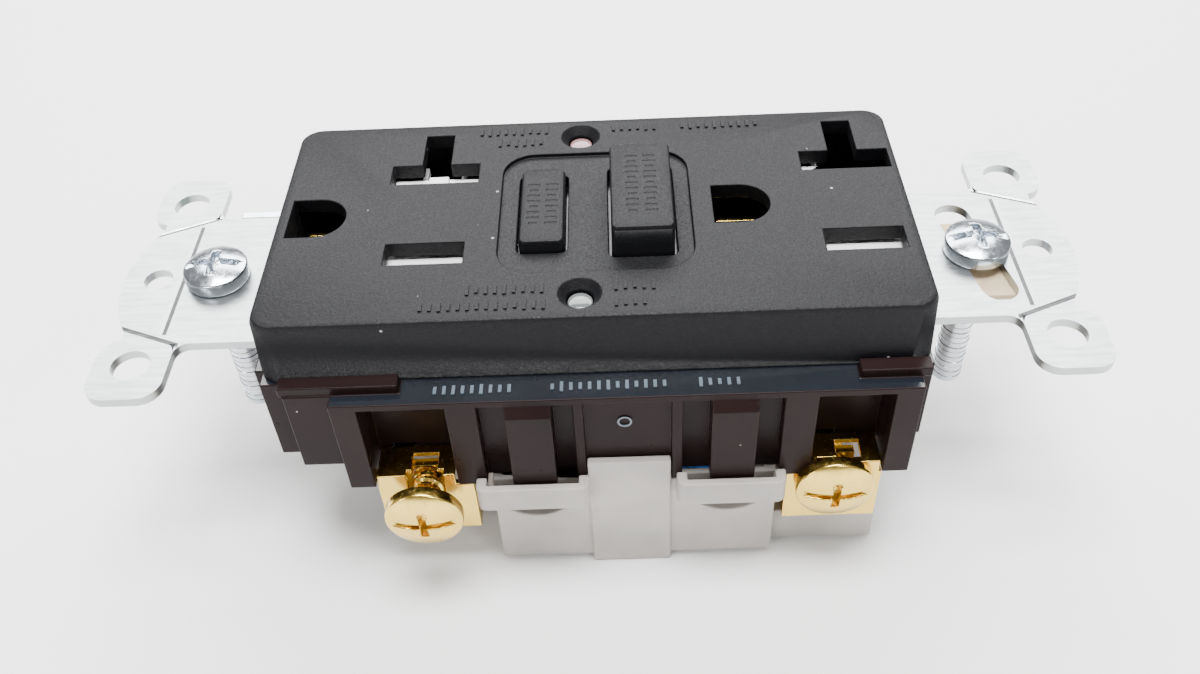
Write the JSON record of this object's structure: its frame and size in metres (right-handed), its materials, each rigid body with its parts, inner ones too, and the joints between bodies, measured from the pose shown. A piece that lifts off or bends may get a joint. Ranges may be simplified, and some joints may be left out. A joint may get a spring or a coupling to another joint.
{
  "type": "gfci outlet",
  "caption": "Twin wall receptacle on a steel strap, with test and reset buttons, lamp windows, side screw terminals and a working trip mechanism inside.",
  "frame": {"origin": "midway between the two wall-plate screw holes, on the strap's front surface", "axes": "+X along the strap towards the load end, +Z out of the face, +Y towards the neutral side"},
  "size_m": [0.1044, 0.0498, 0.0372],
  "materials": {
    "black_face": "matt spark texture",
    "black_body": "satin moulded",
    "black_button": "semi-gloss",
    "grey_cover": "smooth moulded",
    "zinc_steel": "bright zinc",
    "spring_steel": "bright drawn wire",
    "brass": "bright stamped",
    "copper_alloy": "stamped",
    "nickel": "nickel plated",
    "green_zinc": "green dyed zinc",
    "fibre": "pressed fibre",
    "white_plastic": "smooth",
    "ivory_plastic": "moulded",
    "clear_lens": "clear acrylic",
    "pink_lens": "tinted acrylic",
    "led_body": "clear resin",
    "board_green": "solder mask",
    "dark_blue_plastic": "moulded",
    "copper_wire": "enamelled copper",
    "blue_resin": "dipped resin",
    "yellow_film": "boxed film",
    "chip_black": "moulded epoxy"
  },
  "bodies": {
    "body": {"face_cover": "black_face", "mounting_strap": "zinc_steel", "middle_housing": "black_body", "rear_cover": "grey_cover", "reset_spring": "spring_steel", "test_spring": "spring_steel", "test_contact": "copper_alloy", "power_light_pipe": "clear_lens", "trip_light_pipe": "pink_lens", "power_led": "led_body", "trip_led": "led_body", "left_shutter_tray": "white_plastic", "right_shutter_tray": "white_plastic", "left_shutter_spring": "spring_steel", "right_shutter_spring": "spring_steel", "hot_bus": "copper_alloy", "neutral_bus": "copper_alloy", "left_ground_contact": "brass", "right_ground_contact": "brass", "hot_line_terminal": "brass", "hot_load_terminal": "brass", "neutral_line_terminal": "nickel", "neutral_load_terminal": "nickel", "hot_line_clamp": "brass", "hot_load_clamp": "brass", "neutral_line_clamp": "nickel", "neutral_load_clamp": "nickel", "ground_terminal": "zinc_steel", "left_screw_washer": "fibre", "right_screw_washer": "fibre", "cover_screws": "zinc_steel", "circuit_board": "board_green", "transformer_housing": "dark_blue_plastic", "sense_coil": "copper_wire", "neutral_coil": "copper_wire", "line_conductors": "copper_alloy", "solenoid_bobbin": "ivory_plastic", "solenoid_winding": "copper_wire", "solenoid_yoke": "zinc_steel", "varistor": "blue_resin", "filter_capacitor": "yellow_film", "control_chip": "chip_black", "rectifier_diodes": "chip_black"},
    "reset": {"reset_button": "black_button", "reset_pin": "spring_steel"},
    "test": {"test_button": "black_face"},
    "left_shutter_slide": {"left_shutter": "white_plastic"},
    "right_shutter_slide": {"right_shutter": "white_plastic"},
    "plunger": {"plunger": "spring_steel"},
    "latch": {"latch_plate": "spring_steel"},
    "carriage": {"contact_carriage": "ivory_plastic"},
    "contact_arms": {"hot_contact_arm": "copper_alloy", "neutral_contact_arm": "copper_alloy"},
    "hot_line_screw": {"hot_line_screw": "brass"},
    "hot_load_screw": {"hot_load_screw": "brass"},
    "neutral_line_screw": {"neutral_line_screw": "nickel"},
    "neutral_load_screw": {"neutral_load_screw": "nickel"},
    "ground_screw": {"ground_screw": "green_zinc"},
    "left_mounting_screw": {"left_mounting_screw": "zinc_steel"},
    "right_mounting_screw": {"right_mounting_screw": "zinc_steel"}
  },
  "joints": [
    {"name": "reset_press", "type": "slide", "parent": "body", "child": "reset", "axis": [0, 0, -1], "range_m": [0, 0.003], "stiffness_N_per_m": 350, "springref_m": -0.002, "deforming": ["reset_spring"]},
    {"name": "test_press", "type": "slide", "parent": "body", "child": "test", "axis": [0, 0, -1], "range_m": [0, 0.0012], "stiffness_N_per_m": 450, "springref_m": -0.001, "deforming": ["test_spring"]},
    {"name": "left_shutter_open", "type": "slide", "parent": "body", "child": "left_shutter_slide", "axis": [0, -1, 0], "range_m": [0, 0.0039], "stiffness_N_per_m": 60, "springref_m": -0.001, "deforming": ["left_shutter_spring"]},
    {"name": "right_shutter_open", "type": "slide", "parent": "body", "child": "right_shutter_slide", "axis": [0, -1, 0], "range_m": [0, 0.0039], "stiffness_N_per_m": 60, "springref_m": -0.001, "deforming": ["right_shutter_spring"]},
    {"name": "plunger_pull", "type": "slide", "parent": "body", "child": "plunger", "axis": [-1, 0, 0], "range_m": [0, 0.0015], "stiffness_N_per_m": 150, "springref_m": -0.001},
    {"name": "contact_lift", "type": "slide", "parent": "body", "child": "carriage", "axis": [0, 0, 1], "range_m": [0, 0.0012], "stiffness_N_per_m": 300, "springref_m": -0.001},
    {"name": "latch_slide", "type": "slide", "parent": "carriage", "child": "latch", "axis": [-1, 0, 0], "range_m": [0, 0.0015]},
    {"name": "arm_lift", "type": "hinge", "parent": "body", "child": "contact_arms", "pos_m": [-0.012, 0, -0.01505], "axis": [0, -1, 0], "range_deg": [0, 3.73]},
    {"name": "hot_line_screw_turn", "type": "hinge", "parent": "body", "child": "hot_line_screw", "pos_m": [-0.0184, -0.02, -0.0135], "axis": [0, -1, 0], "continuous": true},
    {"name": "hot_load_screw_turn", "type": "hinge", "parent": "body", "child": "hot_load_screw", "pos_m": [0.0245, -0.02, -0.0135], "axis": [0, -1, 0], "continuous": true},
    {"name": "neutral_line_screw_turn", "type": "hinge", "parent": "body", "child": "neutral_line_screw", "pos_m": [-0.0184, 0.02, -0.0135], "axis": [0, 1, 0], "continuous": true},
    {"name": "neutral_load_screw_turn", "type": "hinge", "parent": "body", "child": "neutral_load_screw", "pos_m": [0.0245, 0.02, -0.0135], "axis": [0, 1, 0], "continuous": true},
    {"name": "ground_screw_turn", "type": "hinge", "parent": "body", "child": "ground_screw", "pos_m": [-0.0382, 0.011, -0.0066], "axis": [0, 1, 0], "continuous": true},
    {"name": "left_mounting_screw_turn", "type": "hinge", "parent": "body", "child": "left_mounting_screw", "pos_m": [-0.04165, 0, 0], "axis": [0, 0, 1], "continuous": true},
    {"name": "right_mounting_screw_turn", "type": "hinge", "parent": "body", "child": "right_mounting_screw", "pos_m": [0.04165, 0, 0], "axis": [0, 0, 1], "continuous": true}
  ],
  "couplings": [
    {"joint": "latch_slide", "follows": "plunger_pull", "ratio": 1},
    {"joint": "arm_lift", "follows": "contact_lift", "rad_per_m": 54.2}
  ]
}
